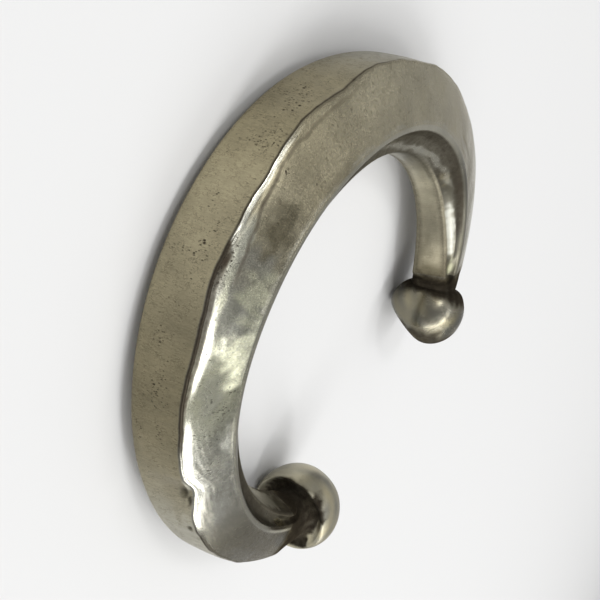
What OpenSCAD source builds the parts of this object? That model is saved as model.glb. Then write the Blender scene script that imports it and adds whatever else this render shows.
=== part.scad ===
// Open silver cuff bangle with ball ends
// One thick hammered band bends round the wrist as a letter C. Its section has six corners:
// the outer ridge, the crest of the upper face, the two edges of the wrist face, the sole
// that it lies on and the heel of the outer face. Both ends narrow to a short neck that
// carries a mushroom-shaped ball with a hollow round the neck.
// The cuff lies on its side: ring axis along +Z, opening towards -Y, the shown face up.
// The origin is the bottom centre of its bounding box.

/* [Wrist hollow] */
// Radius of the round hollow that the wrist sits in
wrist_radius = 27.5; // [25:0.5:34]

/* [Band] */
// Depth of the band at the back, from the wrist hollow out to the ridge
band_depth = 14.6; // [11:0.2:17]
// Height of the outer face at the back, from the heel up to the ridge
band_height = 8.3; // [6.5:0.1:10]
// How far the bevel between crest and wrist face is hollowed
bevel_hollow = 0.7; // [0:0.1:1]
// How strongly the ridge wanders and is knocked in, 1 as on the old piece
ridge_wear = 1; // [0:0.1:1.2]

/* [Ball ends] */
// Mean angle from the middle of the back round to the middle of each ball
ball_angle = 136.3; // [130:0.1:142]
// Radius of the near ball, the one at -X
near_ball_radius = 7.2; // [6.6:0.05:7.6]
// Radius of the far ball
far_ball_radius = 7.05; // [6.6:0.05:7.6]
// Radius of the neck where it meets the ball
neck_radius = 4.2; // [3.4:0.1:4.4]
// Depth of the middle of each ball below the ridge
ball_drop = 2.3; // [1.8:0.1:2.8]

/* [Smoothness] */
// Number of steps along the band
band_steps = 62; // [40:1:80]
// Number of steps round each rounded corner
corner_steps = 2; // [1:1:3]
// Number of steps along each side between two corners
side_steps = 4; // [2:1:5]
// Number of steps along each neck
neck_steps = 6; // [4:1:10]

/* [Hidden] */

// Band table: one row for each section, at its turn in degrees from the back.
// "out" is the distance outward from the wrist hollow, "up" the height over the ridge level.
// turn, then out and up of: ridge out, crest, bore edge, foot edge, sole, heel
TURN = 0;
RIDGE_OUT = 1;
CREST = 2;
BORE = 4;
FOOT = 6;
SOLE = 8;
HEEL = 10;
BAND = [
    // turn  ridge  crest      bore edge   foot edge   sole        heel
    [-126, 11.2,  5.8, 1.1,  3.8,  0.8,  2.0, -4.6,  6.3, -5.9,  11.0, -5.0],
    [-116, 11.5,  5.7, 1.5,  3.2,  0.5,  1.6, -4.8,  6.9, -6.4,  12.1, -5.5],
    [-104, 12.0,  5.6, 2.1,  2.7,  0.1,  1.1, -4.8,  7.2, -6.9,  12.8, -5.8],
    [ -84, 12.6,  5.5, 2.7,  1.9, -0.3,  0.5, -4.8,  7.5, -7.7,  13.5, -6.4],
    [ -54, 13.1,  5.5, 2.9,  1.1, -0.3,  0.1, -4.7,  7.5, -8.5,  14.4, -7.6],
    [ -24, 14.3,  5.0, 3.2,  0.3,  0.0,  0.0, -4.6,  7.5, -9.2,  15.1, -8.3],
    [   6, 14.6,  4.8, 3.3,  0.1,  0.1, -0.1, -4.6,  7.5, -9.3,  14.9, -8.3],
    [  36, 14.2,  5.2, 3.4,  0.6, -0.3, -0.3, -4.6,  7.5, -8.9,  14.0, -7.3],
    [  66, 14.0,  5.4, 3.0,  1.0, -0.6, -0.1, -4.7,  7.5, -8.0,  14.1, -6.7],
    [  96, 13.3,  5.5, 2.3,  1.6, -0.5,  0.0, -4.9,  7.4, -7.2,  13.6, -6.0],
    [ 116, 12.3,  5.6, 1.9,  2.5,  0.1,  0.1, -5.0,  7.0, -6.5,  12.4, -5.6],
    [ 126, 11.9,  5.7, 1.4,  3.2,  0.6,  0.4, -5.0,  6.4, -6.1,  11.4, -5.2],
];

// Ridge table: turn in degrees, and how far the ridge is knocked in along the upper face
RIDGE_WEAR = [
    [-124, 0.00], [-98, 0.00], [-85, 0.15], [-78, 0.45], [-74, 1.05], [-70, 1.20],
    [-66, 0.10], [-49, -0.10], [-36, 0.28], [-28, -0.22], [-20, 0.25], [-15, 0.05],
    [-10, 0.27], [1, -0.30], [12, 0.40], [24, -0.10], [40, 0.20], [55, -0.10],
    [75, 0.15], [95, -0.05], [124, 0.00],
];
// Rise of the upper face for each millimetre inward, where the ridge is knocked in
WEAR_RISE = 0.33;

// Corner table: how far each corner is rounded, and how far the side after it bulges.
// ridge, crest, bore edge, foot edge, sole, heel
ROUNDING = [0.5, 0.6, 0.6, 0.7, 2.0, 0.9];
BULGE = [0.2, -bevel_hollow, 0.1, 0.3, 0.1, 0.1];

// Ball tables: distance from the ball's middle and radius, as shares of the ball's radius.
// The near ball is a mushroom: its first rows are the hollow round the neck and the rim
// that overhangs it. The far ball closes onto its neck at a plain crease.
NEAR_BALL = [
    [-0.40, 0.62], [-0.36, 0.73], [-0.41, 0.82], [-0.45, 0.885], [-0.40, 0.94],
    [-0.23, 0.985], [0.00, 1.00], [0.21, 0.97], [0.42, 0.885], [0.59, 0.75],
    [0.71, 0.58], [0.79, 0.385], [0.83, 0.185],
];
FAR_BALL = [
    [-0.62, 0.64], [-0.60, 0.73], [-0.53, 0.82], [-0.40, 0.90], [-0.21, 0.97],
    [0.00, 1.00], [0.24, 0.975], [0.48, 0.89], [0.68, 0.755], [0.83, 0.585],
    [0.92, 0.40], [0.97, 0.20],
];

// End table: side of the opening, angle of the ball from the middle of the back, distance of
// its middle out from the wrist hollow, its radius, and as shares of that radius where the
// neck ends and where the pole lies
SIDE = 0;
ANGLE = 1;
OUT = 2;
RADIUS = 3;
NECK_END = 4;
POLE = 5;
NEAR_END = [-1, ball_angle - 0.2, 5.5, near_ball_radius, -0.46, 0.845];
FAR_END = [1, ball_angle + 0.2, 5.1, far_ball_radius, -0.66, 0.985];

// Angle between the end of the band and the mean angle of the balls
NECK_ANGLE = 13.3;
band_end = ball_angle - NECK_ANGLE;
// Part of the neck's length, seen from the ball, where its sections stand parallel
STRAIGHT = 0.9;
out_scale = band_depth / 14.6;
up_scale = band_height / 8.3;

// Row of a table in which x lies
function span(rows, x, k = 0) =
    k >= len(rows) - 2 || x < rows[k + 1][0] ? k : span(rows, x, k + 1);

// Slope of column c at row k
function slope(rows, k, c) =
    let (before = max(k - 1, 0), after = min(k + 1, len(rows) - 1))
    (rows[after][c] - rows[before][c]) / (rows[after][0] - rows[before][0]);

// Value of column c at x on a smooth curve through the rows
function smooth(rows, x, c) =
    let (k = span(rows, x), h = rows[k + 1][0] - rows[k][0], t = (x - rows[k][0]) / h)
    (1 + 2 * t) * (1 - t) * (1 - t) * rows[k][c]
    + t * (1 - t) * (1 - t) * h * slope(rows, k, c)
    + t * t * (3 - 2 * t) * rows[k + 1][c]
    + t * t * (t - 1) * h * slope(rows, k + 1, c);

// Ease from 0 to 1
function ease(w) = let (v = min(max(w, 0), 1)) v * v * (3 - 2 * v);

// Corner of the section whose out and up stand in columns c and c + 1
function corner(turn, c) = [
    smooth(BAND, turn, c) * out_scale,
    smooth(BAND, turn, c + 1) * up_scale
];

// Ridge of the section, with its wear
function ridge(turn) =
    let (wear = smooth(RIDGE_WEAR, turn, 1) * ridge_wear)
    [smooth(BAND, turn, RIDGE_OUT) * out_scale - wear, WEAR_RISE * wear];

// The six corners at a turn, in order round the section
function corners(turn) = concat(
    [ridge(turn)],
    [for (c = [CREST, BORE, FOOT, SOLE, HEEL]) corner(turn, c)]
);

function unit(v) = v / norm(v);

// Outline of the section through its corners, rounded at each and bulged between them
function outline(points) = let (n = len(points)) [
    for (k = [0:n - 1])
        let (
            here = points[k],
            next = points[(k + 1) % n],
            back = unit(points[(k + n - 1) % n] - here),
            ahead = unit(next - here),
            start = here + back * ROUNDING[k],
            leave = here + ahead * ROUNDING[k],
            arrive = next - ahead * ROUNDING[(k + 1) % n],
            outward = [ahead[1], -ahead[0]]
        )
        for (i = [0:corner_steps + side_steps - 1])
            i <= corner_steps
            ? let (t = i / corner_steps)
                (1 - t) * (1 - t) * start + 2 * t * (1 - t) * here + t * t * leave
            : let (t = (i - corner_steps) / side_steps)
                leave + (arrive - leave) * t + outward * BULGE[k] * 4 * t * (1 - t)
];

// Directions outward and along the ring at a turn
function outward_at(turn) = [sin(turn), cos(turn), 0];
function along_at(turn) = [cos(turn), -sin(turn), 0];
UP = [0, 0, 1];

// A flat outline placed on a base point, standing across the band at a turn
function placed(shape, base, turn) = [
    for (p = shape) base + p[0] * outward_at(turn) + p[1] * UP
];

// Section of the band at a turn
function band_section(turn) =
    placed(outline(corners(turn)), wrist_radius * outward_at(turn), turn);

// Middle of an outline's bounding box
function mid(shape) = let (xs = [for (p = shape) p[0]], ys = [for (p = shape) p[1]])
    [(min(xs) + max(xs)) / 2, (min(ys) + max(ys)) / 2];

// Sections of one end, from the neck to the ball's last ring. Along the neck the band's
// section turns into a circle, and its middle moves to the middle of the ball.
function end_sections(end, ball) =
    let (
        side = end[SIDE],
        radius = end[RADIUS],
        turn = side * end[ANGLE],
        shape = outline(corners(side * band_end)),
        centre = mid(shape),
        centred = [for (p = shape) p - centre],
        ball_centre = [end[OUT], -ball_drop],
        path_radius = wrist_radius + end[OUT],
        first = -(end[ANGLE] - band_end) * PI / 180 * path_radius,
        last = end[NECK_END] * radius,
        rows = concat(
            [for (i = [1:neck_steps]) [first + (last - first) * i / neck_steps, neck_radius]],
            [for (r = ball) r * radius]
        )
    )
    [for (row = rows)
        let (
            along = row[0],
            w = ease((along - first) / (last - first)),
            bend = 1 - ease((along - first) / (last * STRAIGHT - first)),
            place = centre * (1 - w) + ball_centre * w,
            path_turn = side * along / path_radius * 180 / PI,
            straight = (wrist_radius + place[0]) * outward_at(turn)
                + side * along * along_at(turn),
            curved = (wrist_radius + place[0]) * outward_at(turn + path_turn),
            base = curved * bend + straight * (1 - bend) + place[1] * UP,
            ring = [for (p = centred) p * (1 - w) + unit(p) * w * row[1]]
        )
        placed(ring, base, turn + path_turn * bend)
    ];

// Outermost point of a ball, on its axis
function pole(end) =
    let (turn = end[SIDE] * end[ANGLE])
    (wrist_radius + end[OUT]) * outward_at(turn)
    + end[SIDE] * end[POLE] * end[RADIUS] * along_at(turn)
    - ball_drop * UP;

function reversed(v) = [for (k = [len(v) - 1:-1:0]) v[k]];

sections = concat(
    reversed(end_sections(NEAR_END, NEAR_BALL)),
    [for (k = [0:band_steps]) band_section(-band_end + 2 * band_end * k / band_steps)],
    end_sections(FAR_END, FAR_BALL)
);
ring_points = len(sections[0]);
ring_count = len(sections);
skin = [for (s = sections) each s];
points = concat(skin, [pole(NEAR_END), pole(FAR_END)]);
near_pole = len(skin);
far_pole = near_pole + 1;
last_ring = (ring_count - 1) * ring_points;

faces = [
    for (i = [0:ring_count - 2], j = [0:ring_points - 1])
        let (a = i * ring_points + j, b = i * ring_points + (j + 1) % ring_points)
        each [[b + ring_points, b, a], [a + ring_points, b + ring_points, a]],
    for (j = [0:ring_points - 1])
        let (next = (j + 1) % ring_points)
        each [[j, next, near_pole], [last_ring + next, last_ring + j, far_pole]]
];

low = [for (c = [0:2]) min([for (p = points) p[c]])];
high = [for (c = [0:2]) max([for (p = points) p[c]])];
origin = [(low[0] + high[0]) / 2, (low[1] + high[1]) / 2, low[2]];

// The whole cuff: band, necks and balls in one solid
module bangle() {
    color([0.6, 0.56, 0.48])
    translate(-origin)
    polyhedron(points, faces, convexity = 6);
}

bangle();
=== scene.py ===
"""Looks of the old silver cuff bangle with ball ends.

The cuff is one loft, built here finely from the same tables as the CAD solid and dressed with
the forging marks, dents, worn edges, pits and tarnish that the photograph shows.
"""

import math

import bpy
import numpy as np
from mathutils import Matrix, Vector


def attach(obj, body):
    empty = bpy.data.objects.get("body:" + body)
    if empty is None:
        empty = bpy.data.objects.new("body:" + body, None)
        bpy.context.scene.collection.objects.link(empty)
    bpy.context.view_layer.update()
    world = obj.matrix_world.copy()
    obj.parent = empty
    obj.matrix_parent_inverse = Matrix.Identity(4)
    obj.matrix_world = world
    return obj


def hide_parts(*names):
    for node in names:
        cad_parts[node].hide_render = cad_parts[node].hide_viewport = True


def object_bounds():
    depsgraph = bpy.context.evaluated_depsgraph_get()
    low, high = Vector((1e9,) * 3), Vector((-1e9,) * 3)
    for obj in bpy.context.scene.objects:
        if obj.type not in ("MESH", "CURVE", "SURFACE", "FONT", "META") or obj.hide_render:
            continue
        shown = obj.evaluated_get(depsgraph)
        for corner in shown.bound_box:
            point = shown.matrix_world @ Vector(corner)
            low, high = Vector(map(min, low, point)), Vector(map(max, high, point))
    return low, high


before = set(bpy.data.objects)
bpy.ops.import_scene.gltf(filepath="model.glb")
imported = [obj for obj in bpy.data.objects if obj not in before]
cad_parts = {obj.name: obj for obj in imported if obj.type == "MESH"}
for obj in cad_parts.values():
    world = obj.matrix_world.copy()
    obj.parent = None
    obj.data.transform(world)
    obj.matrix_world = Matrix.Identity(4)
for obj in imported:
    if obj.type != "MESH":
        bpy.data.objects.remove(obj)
cad_low, cad_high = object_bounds()
# The frame is in metres and the sizes of the cuff are in millimetres
MM = 0.001

# Sizes and tables shared with the CAD
WRIST_RADIUS = 27.5
BEVEL_HOLLOW = 0.7
# Turn at which the band ends, to each side of the middle of the back
BAND_END = 123.0
# Depth of the middle of each ball below the ridge
BALL_DROP = 2.3
NECK_RADIUS = 4.2
# Share of the way from the ball's middle to its neck within which the sections stand parallel
STRAIGHT = 0.9
# Rise of the upper face for each millimetre inward, where the ridge is knocked in
WEAR_RISE = 0.33
# How far the ridge of the finer mesh wanders, in mm
RIDGE_WOBBLE = 0.10
# turn, then out and up of: ridge (out only), crest, bore edge, foot edge, sole, heel
BAND = np.array([
    [-126, 11.2,  5.8, 1.1,  3.8,  0.8,  2.0, -4.6,  6.3, -5.9,  11.0, -5.0],
    [-116, 11.5,  5.7, 1.5,  3.2,  0.5,  1.6, -4.8,  6.9, -6.4,  12.1, -5.5],
    [-104, 12.0,  5.6, 2.1,  2.7,  0.1,  1.1, -4.8,  7.2, -6.9,  12.8, -5.8],
    [ -84, 12.6,  5.5, 2.7,  1.9, -0.3,  0.5, -4.8,  7.5, -7.7,  13.5, -6.4],
    [ -54, 13.1,  5.5, 2.9,  1.1, -0.3,  0.1, -4.7,  7.5, -8.5,  14.4, -7.6],
    [ -24, 14.3,  5.0, 3.2,  0.3,  0.0,  0.0, -4.6,  7.5, -9.2,  15.1, -8.3],
    [   6, 14.6,  4.8, 3.3,  0.1,  0.1, -0.1, -4.6,  7.5, -9.3,  14.9, -8.3],
    [  36, 14.2,  5.2, 3.4,  0.6, -0.3, -0.3, -4.6,  7.5, -8.9,  14.0, -7.3],
    [  66, 14.0,  5.4, 3.0,  1.0, -0.6, -0.1, -4.7,  7.5, -8.0,  14.1, -6.7],
    [  96, 13.3,  5.5, 2.3,  1.6, -0.5,  0.0, -4.9,  7.4, -7.2,  13.6, -6.0],
    [ 116, 12.3,  5.6, 1.9,  2.5,  0.1,  0.1, -5.0,  7.0, -6.5,  12.4, -5.6],
    [ 126, 11.9,  5.7, 1.4,  3.2,  0.6,  0.4, -5.0,  6.4, -6.1,  11.4, -5.2],
])
# turn, how far the ridge is knocked in, in mm
RIDGE_WEAR = np.array([
    [-124, 0.00], [-98, 0.00], [-85, 0.15], [-78, 0.45], [-74, 1.05], [-70, 1.20],
    [-66, 0.10], [-49, -0.10], [-36, 0.28], [-28, -0.22], [-20, 0.25], [-15, 0.05],
    [-10, 0.27], [1, -0.30], [12, 0.40], [24, -0.10], [40, 0.20], [55, -0.10],
    [75, 0.15], [95, -0.05], [124, 0.00],
])
# How far each corner is rounded, and how far the side after it bulges, in mm.
# ridge, crest, bore edge, foot edge, sole, heel
ROUNDING = [0.5, 0.6, 0.6, 0.7, 2.0, 0.9]
BULGE = [0.2, -BEVEL_HOLLOW, 0.1, 0.3, 0.1, 0.1]
# The finer mesh has a sharper ridge and bore edge
FINE_ROUNDING = [0.22, 0.6, 0.35, 0.7, 2.0, 0.9]
# Distance from the ball's middle and radius, as shares of the ball's radius
NEAR_BALL = np.array([
    [-0.40, 0.62], [-0.36, 0.73], [-0.41, 0.82], [-0.45, 0.885], [-0.40, 0.94],
    [-0.23, 0.985], [0.00, 1.00], [0.21, 0.97], [0.42, 0.885], [0.59, 0.75],
    [0.71, 0.58], [0.79, 0.385], [0.83, 0.185], [0.845, 0.0],
])
FAR_BALL = np.array([
    [-0.62, 0.64], [-0.60, 0.73], [-0.53, 0.82], [-0.40, 0.90], [-0.21, 0.97],
    [0.00, 1.00], [0.24, 0.975], [0.48, 0.89], [0.68, 0.755], [0.83, 0.585],
    [0.92, 0.40], [0.97, 0.20], [0.985, 0.0],
])
# An end. side: -1 at -X, 1 at +X; angle: degrees from the middle of the back to the ball's middle
# out: that middle's distance out from the wrist hollow; radius: the ball's; neck: where the neck
# stops, in radii from the middle; rows: the ball's table
# rim: row of the ball's edge; ragged: how uneven the rim is, in mm
# rim_lean: how far the rim leans along the end, outward and up, in mm; lumps: height of lumps, in mm
# neck_from: row, the neck being -1 to 0, where the neck's brown begins
# stained: first and last row of the dark tarnish; fade: rows over which it grows up from the band
# stain_lean: how many rows further it reaches outward and up
# wander: its uneven edge, in rows; fray: how ragged that edge is, in rows
# chips: light bits where the tarnish has come off; degrees from outward to up, row, size in radii
# dull_pole: tarnish round the pole; tone: brightness of the ball
# dulled: direction, outward and up, in which the ball is dull
# flats: beaten flats on the ball, each a direction and its distance in radii
NEAR_END = dict(
    side=-1, angle=136.1, out=5.5, radius=7.2, neck=-0.46, rows=NEAR_BALL,
    rim=4.0, ragged=0.14, rim_lean=(1.1, 0.4), lumps=0.04,
    neck_from=-1.5, stained=(-1.4, 4.5), fade=0.5, stain_lean=(-0.3, 1.8), wander=0.5, fray=0.15,
    chips=[(50, 4.5, 0.13), (60, 3.0, 0.12), (65, 5.0, 0.18), (76, 4.0, 0.17),
           (84, 5.4, 0.20), (93, 3.4, 0.10), (98, 5.4, 0.12), (146, 3.8, 0.09)],
    dull_pole=0.0, tone=0.38, dulled=None, flats=[],
)
FAR_END = dict(
    side=1, angle=136.5, out=5.1, radius=7.05, neck=-0.66, rows=FAR_BALL,
    rim=2.0, ragged=0.0, rim_lean=(0.0, 0.0), lumps=0.006,
    neck_from=-1.0, stained=(-1.65, 4.8), fade=1.3, stain_lean=(1.1, 0.5), wander=0.45, fray=0.1,
    chips=[], dull_pole=0.85, tone=0.21, dulled=(0.35, 0.94),
    flats=[((-0.78, -0.32, -0.54), 0.78), ((0.32, 0.83, -0.46), 0.84)],
)
# Rows over which the rim's lean dies away, last row of the ball that the neck's tarnish reaches,
# and how sharp the edge of a flat is
RIM_ROWS = 4.0
STAIN_LIMIT = 6.4
FLAT_SHARPNESS = 1.5

# Sides of the section, each from one corner to the next, in the order of the corners.
# A rounded corner has the half number before its side: the corner of the ridge is -0.5 to 0.
UPPER, BEVEL, WRIST, FOOT, SOLE, OUTER = range(6)
# On the corner of the ridge, where the part that faces outward stops
RIDGE_LINE = -0.3

# Marks on the cuff, by side, turn in degrees and share of the side's width.
# Strip beside the ridge, on the upper face. turn, crevice depth mm, start of the leaning strip mm,
# its width mm, its slope, crevice depth on the outer face mm
RIDGE_STRIP = np.array([
    [-123, 0.00, 0.2, 1.4, 0.00, 0.00],
    [-100, 0.02, 0.2, 1.2, 0.00, 0.06],
    [ -86, 0.05, 0.2, 0.7, 0.00, 0.06],
    [ -82, 0.02, 0.0, 0.6, 0.05, 0.04],
    [ -77, 0.02, 0.0, 0.8, 0.11, 0.02],
    [ -73, 0.02, 0.0, 1.0, 0.13, 0.00],
    [ -64, 0.04, 0.05, 1.3, 0.14, 0.00],
    [ -58, 0.08, 0.25, 1.2, 0.13, 0.00],
    [ -54, 0.10, 0.4, 0.8, 0.06, 0.00],
    [ -51, 0.10, 0.55, 0.7, 0.04, 0.00],
    [ -47, 0.10, 0.65, 0.8, 0.07, 0.00],
    [ -41, 0.12, 0.75, 1.3, 0.13, 0.00],
    [ -36, 0.14, 0.8, 0.9, 0.08, 0.00],
    [ -31, 0.14, 0.8, 0.8, 0.05, 0.00],
    [ -25, 0.16, 0.7, 0.7, 0.02, 0.00],
    [ -21, 0.05, 0.1, 0.25, 0.15, 0.03],
    [ -17, 0.00, 0.0, 0.42, 0.18, 0.06],
    [ -10, 0.00, 0.0, 0.34, 0.16, 0.08],
    [  -5, 0.01, 0.0, 0.32, 0.09, 0.11],
    [   1, 0.03, 0.1, 0.4, 0.05, 0.12],
    [   8, 0.05, 0.1, 0.5, 0.03, 0.11],
    [  14, 0.05, 0.2, 0.9, 0.02, 0.07],
    [  45, 0.02, 0.2, 1.2, 0.00, 0.03],
    [ 123, 0.00, 0.2, 1.2, 0.00, 0.00],
])
# Soft dark valley below the strip. turn, distance from the ridge mm, strength
VALLEY = np.array([
    [-123, 3.1, 0.0], [-32, 2.9, 0.0], [-25, 2.6, 0.7], [-18, 2.0, 0.9], [-14, 1.3, 1.0],
    [ -10, 1.0, 0.9], [ -3, 1.0, 0.6], [  2, 1.4, 0.7], [  6, 1.3, 0.6], [ 11, 1.0, 0.5],
    [  18, 0.7, 0.3], [ 30, 0.4, 0.0], [123, 0.4, 0.0],
])
# Hammered waves and fine roughness. side, height mm, length along and across the band mm, seed,
# how many waves, the shortest of them as a share of the length
HAMMERED = [
    (UPPER, 0.06, 14, 12, 21, 6, 0.5),
    (UPPER, 0.003, 2.2, 2.2, 22, 9, 0.4),
    (BEVEL, 0.03, 9, 7, 31, 6, 0.5),
    (WRIST, 0.04, 12, 6, 41, 6, 0.3),
    (FOOT, 0.08, 12, 8, 51, 6, 0.3),
    (SOLE, 0.08, 12, 8, 51, 6, 0.3),
    (OUTER, 0.05, 16, 10, 61, 6, 0.3),
]
# Raised (+) and beaten-in (-) marks. side, turn, share of the side, half length in degrees,
# half width as a share, height mm
DENTS = [
    [5, -71.5, 0.84, 1.6, 0.06, -0.22],
    [5, -73.5, 0.92, 1.6, 0.04, -0.20],
    [5, -69.5, 0.93, 1.0, 0.05,  0.12],
    [5, -82.0, 0.86, 0.8, 0.07, -0.22],
    [5, -77.5, 0.70, 5.0, 0.15, -0.10],
    [0, -61.0, 0.85, 7.0, 0.35, -0.08],
    [0, -47.0, 0.40, 8.0, 0.40, -0.10],
    [0, -38.0, 0.80, 8.0, 0.40,  0.08],
    [0, -31.0, 0.35, 8.0, 0.35, -0.05],
    [0, -22.0, 0.45, 5.0, 0.50, -0.03],
    [0, -14.0, 0.60, 7.0, 0.45, -0.06],
    [0,  -5.0, 0.30, 7.0, 0.30,  0.02],
    [0,  75.0, 0.75, 6.0, 0.10, -0.06],
    [1,  50.0, 0.70, 9.0, 0.25,  0.06],
    [1,  64.0, 0.62, 8.0, 0.25,  0.07],
    [1,  78.0, 0.52, 7.0, 0.30,  0.08],
    [1,  85.0, 0.68, 4.0, 0.35, -0.03],
    [1, -113., 0.45, 4.0, 0.35,  0.12],
]
# Colour patches, some of them painted highlights. side, turn, share, half length, half width,
# brightness, tint as in TONE, strength. A patch brighter than CLEAN_SHADE keeps the dirt away.
CLEAN_SHADE = 0.15
PATCHES = [
    [0, -121., 0.80, 5.0, 0.45, 0.12, 1.0, 0.90],
    [0, -104., 0.20, 9.0, 0.25, 0.20, 0.4, 0.50],
    [0, -80.5, 0.20, 3.2, 0.09, 0.12, 0.4, 0.80],
    [0, -79.0, 0.60, 7.0, 0.30, 0.24, 0.0, 0.60],
    [0, -66.0, 0.50, 7.0, 0.30, 0.26, 0.2, 0.60],
    # Painted highlight: yellow-white sheen on the upper face
    [0, -60.5, 0.90, 3.6, 0.20, 0.50, 0.0, 0.80],
    [0, -48.5, 0.42, 5.0, 0.26, 0.17, -.2, 0.85],
    # Painted highlight: pale yellow sheen on the upper face, in this row and the next
    [0, -41.0, 1.00, 8.0, 0.42, 0.78, -.5, 0.90],
    [0, -40.0, 0.60, 3.2, 0.36, 0.62, -.5, 0.80],
    [0, -33.0, 0.36, 5.5, 0.18, 0.17, -.2, 0.85],
    # Painted highlight: pale yellow-green sheen, in this row and the next
    [0, -28.5, 0.75, 6.5, 0.32, 0.44, -.7, 0.70],
    [0, -30.0, 0.20, 6.0, 0.07, 0.44, -.6, 0.60],
    [0, -22.5, 0.50, 3.0, 0.40, 0.17, 0.2, 0.80],
    [0, -15.0, 0.60, 6.5, 0.30, 0.10, 1.3, 0.90],
    [0, -12.0, 0.93, 9.0, 0.07, 0.24, 0.9, 0.60],
    [0, -20.5, 0.16, 6.0, 0.10, 0.26, -.3, 0.85],
    [0,   2.0, 0.70, 6.0, 0.25, 0.40, 1.1, 0.40],
    [0,  50.0, 0.50, 9.0, 0.35, 0.43, 1.0, 0.50],
    [0,  74.0, 0.80, 6.0, 0.06, 0.28, 1.1, 0.70],
    [1, -116., 0.35, 4.0, 0.35, 0.24, 1.7, 0.80],
    [1,  79.0, 0.70, 4.0, 0.26, 0.30, 1.5, 0.60],
    [1,  85.5, 0.75, 3.0, 0.22, 0.08, 1.0, 0.50],
    # Lighter clean metal where the key lamp's reflection falls in the bevel; the lighter colour is partly a
    # painted highlight
    [1, 103.5, 0.80, 12., 0.34, 0.42, 0.0, 1.00],
    [1, 116.5, 0.80, 1.6, 0.35, 0.14, 0.8, 0.50],
    [1, 120.0, 0.45, 3.5, 0.35, 0.45, -.9, 0.85],
    [2,  57.0, 0.75, 7.0, 0.25, 0.42, 0.1, 0.70],
    [2,  72.0, 0.06, 7.0, 0.08, 0.30, 0.8, 0.50],
    [2, 116.0, 0.50, 1.8, 0.70, 0.24, 1.0, 0.60],
    [2, 122.5, 0.50, 3.0, 0.90, 0.14, 1.4, 0.70],
    [2, -120., 0.35, 4.5, 0.60, 0.17, 1.2, 0.95],
    [3, -121., 0.50, 4.0, 0.90, 0.12, 1.6, 0.90],
    [5, -72.0, 0.75, 9.0, 0.30, 0.24, 1.2, 0.50],
    [5, -71.5, 0.82, 1.9, 0.10, 0.05, 1.2, 0.95],
    [5, -73.5, 0.93, 1.7, 0.06, 0.05, 1.2, 0.95],
    [5, -82.3, 0.83, 0.9, 0.10, 0.07, 1.2, 0.90],
    # Painted highlight beside the raised mark on the outer face
    [5, -69.0, 0.95, 2.0, 0.04, 0.75, 0.2, 0.80],
]
# Light wavy band where the far arm's hollow bevel is rubbed. turn, share, half width, strength
BEVEL_BAND = np.array([
    [-123, 0.65, 0.10, 0.0], [22, 0.60, 0.10, 0.0], [32, 0.68, 0.14, 0.6], [42, 0.82, 0.16, 0.7],
    [  50, 0.84, 0.17, 0.9], [58, 0.78, 0.19, 0.9], [66, 0.74, 0.20, 0.8], [74, 0.68, 0.20, 0.6],
    [  82, 0.58, 0.20, 0.5], [88, 0.40, 0.12, 0.0], [123, 0.40, 0.10, 0.0],
])
# Clusters of pits. side, turn, share, half length, half width, strength
PITTED = [
    [5, -58.0, 0.10, 3.0, 0.12, 1.0], [5, -57.5, 0.55, 3.0, 0.30, 0.6], [5, -50.5, 0.55, 3.0, 0.22, 1.0],
    [5, -47.0, 0.45, 2.5, 0.25, 0.9], [5, -40.0, 0.35, 3.0, 0.20, 0.6], [5, -25.0, 0.62, 2.5, 0.22, 1.0],
    [5, -20.5, 0.72, 1.2, 0.12, 0.9], [5, -16.0, 0.42, 1.5, 0.15, 0.8], [5,  -4.0, 0.62, 3.0, 0.22, 1.0],
    [5,   5.0, 0.62, 4.0, 0.25, 1.0], [5,   9.0, 0.45, 4.0, 0.30, 0.8], [5,  -4.0, 0.88, 2.0, 0.08, 0.9],
    [0, -66.0, 0.55, 4.0, 0.30, 0.6], [0, -60.0, 0.50, 5.0, 0.35, 0.5], [0, -53.0, 0.70, 4.0, 0.25, 0.6],
    [0, -47.5, 0.85, 3.0, 0.15, 0.7], [0, -39.0, 0.55, 3.0, 0.25, 0.5], [0,  -6.5, 0.20, 1.0, 0.06, 1.0],
    [0,  -2.0, 0.75, 3.0, 0.15, 0.8], [0,  12.0, 0.50, 12., 0.45, 0.6], [0, -25.0, 0.05, 6.0, 0.10, 1.0],
]
# Brightness of the bare metal along each side, and its tint: 0 grey, 1 tan, -1 greenish yellow.
# turn, brightness, tint
TONE = {
    UPPER: np.array([
        [-123, .14, 1.8], [-112, .14, 1.5], [-95, .15, 1.], [-84, .22, .4], [-70, .245, .1],
        [ -60, .185, -.2], [-45, .20, -.5], [-30, .22, .2], [-20, .19, .9], [-10, .26, 1.1],
        [   0, .27, 1.2], [20, .36, 1.], [45, .39, 1.], [65, .36, 1.2], [85, .33, 1.1],
        [ 105, .44, .6], [123, .44, .8],
    ]),
    BEVEL: np.array([
        [-123, .27, 1.1], [-110, .16, 1.], [-75, .16, .8], [0, .20, .6], [30, .42, .7],
        [  60, .41, .6], [85, .11, .6], [100, .20, .5], [112, .20, .6], [123, .18, .8],
    ]),
    WRIST: np.array([
        [-123, .36, .8], [-60, .34, .8], [0, .38, .9], [50, .30, .5], [62, .37, .6],
        [  79, .60, .8], [92, .35, .9], [105, .22, .9], [114, .21, 1.], [123, .18, 1.2],
    ]),
    OUTER: np.array([
        [-123, .36, .6], [-90, .38, .5], [-78, .36, .6], [-66, .26, 1.2], [-55, .21, 1.4],
        [ -44, .215, 1.4], [-34, .265, 1.3], [-14, .37, 1.3], [-4, .34, 1.4], [4, .29, 1.4],
        [  15, .28, 1.3], [35, .31, .6], [80, .32, .8], [123, .30, 1.],
    ]),
}
# The same for the foot bevel and the sole
UNDERSIDE = np.array([[-123, .30, .9], [0, .34, .9], [123, .30, .9]])

# Fineness of the visual mesh
STATIONS = 480
CORNER_STEPS = 6
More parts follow.
